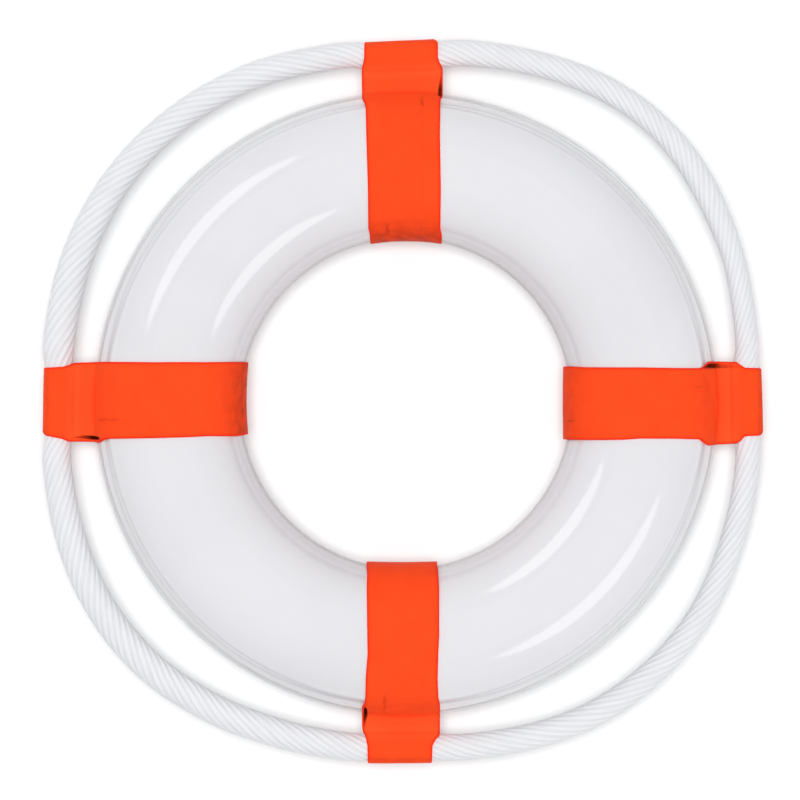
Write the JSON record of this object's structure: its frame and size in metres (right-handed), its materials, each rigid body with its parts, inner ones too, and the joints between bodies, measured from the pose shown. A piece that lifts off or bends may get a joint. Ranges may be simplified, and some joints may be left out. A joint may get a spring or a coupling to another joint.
{
  "type": "life ring",
  "caption": "Life ring: a moulded ring float with an oval section, wrapped straps, and a grab line that runs round outside it through the straps' outer eyes.",
  "frame": {"origin": "on the ring's axis, level with the lowest faces of the straps, which it rests on when it lies on its back", "axes": "+Z along the ring's axis out of its front, +Y towards the top strap, +X towards the right strap as seen from the front"},
  "size_m": [0.5012, 0.5037, 0.0811],
  "materials": {
    "white_shell": "gloss",
    "foam": "matte",
    "plug_plastic": "satin",
    "orange_band": "satin",
    "white_rope": "matte",
    "join_sleeve": "matte"
  },
  "bodies": {
    "ring": {"shell_front": "white_shell", "shell_back": "white_shell", "foam_core": "foam", "fill_plug": "plug_plastic", "vent_plug": "plug_plastic", "strap_top": "orange_band", "strap_right": "orange_band", "strap_bottom": "orange_band", "strap_left": "orange_band", "rope_held_top": "white_rope", "rope_held_right": "white_rope", "rope_held_left": "white_rope", "rope_end_left": "white_rope", "rope_end_right": "white_rope", "rope_sleeve": "join_sleeve"},
    "bight_top_right": {"rope_bight_top_right": "white_rope"},
    "bight_top_left": {"rope_bight_top_left": "white_rope"},
    "bight_bottom_left": {"rope_bight_bottom_left": "white_rope"},
    "bight_bottom_right": {"rope_bight_bottom_right": "white_rope"}
  },
  "joints": [
    {"name": "swing_top_right", "type": "hinge", "parent": "ring", "child": "bight_top_right", "pos_m": [0.13335, 0.13575, 0.0413], "axis": [0.699, -0.7151, 0], "range_deg": [-60, 60], "stiffness_Nm_per_rad": 1},
    {"name": "swing_top_left", "type": "hinge", "parent": "ring", "child": "bight_top_left", "pos_m": [-0.13555, 0.13575, 0.0413], "axis": [0.7064, 0.7078, 0], "range_deg": [-60, 60], "stiffness_Nm_per_rad": 1},
    {"name": "swing_bottom_left", "type": "hinge", "parent": "ring", "child": "bight_bottom_left", "pos_m": [-0.13555, -0.1344, 0.0413], "axis": [-0.711, 0.7032, 0], "range_deg": [-60, 60], "stiffness_Nm_per_rad": 1},
    {"name": "swing_bottom_right", "type": "hinge", "parent": "ring", "child": "bight_bottom_right", "pos_m": [0.13335, -0.1344, 0.0413], "axis": [-0.7035, -0.7107, 0], "range_deg": [-60, 60], "stiffness_Nm_per_rad": 1}
  ]
}
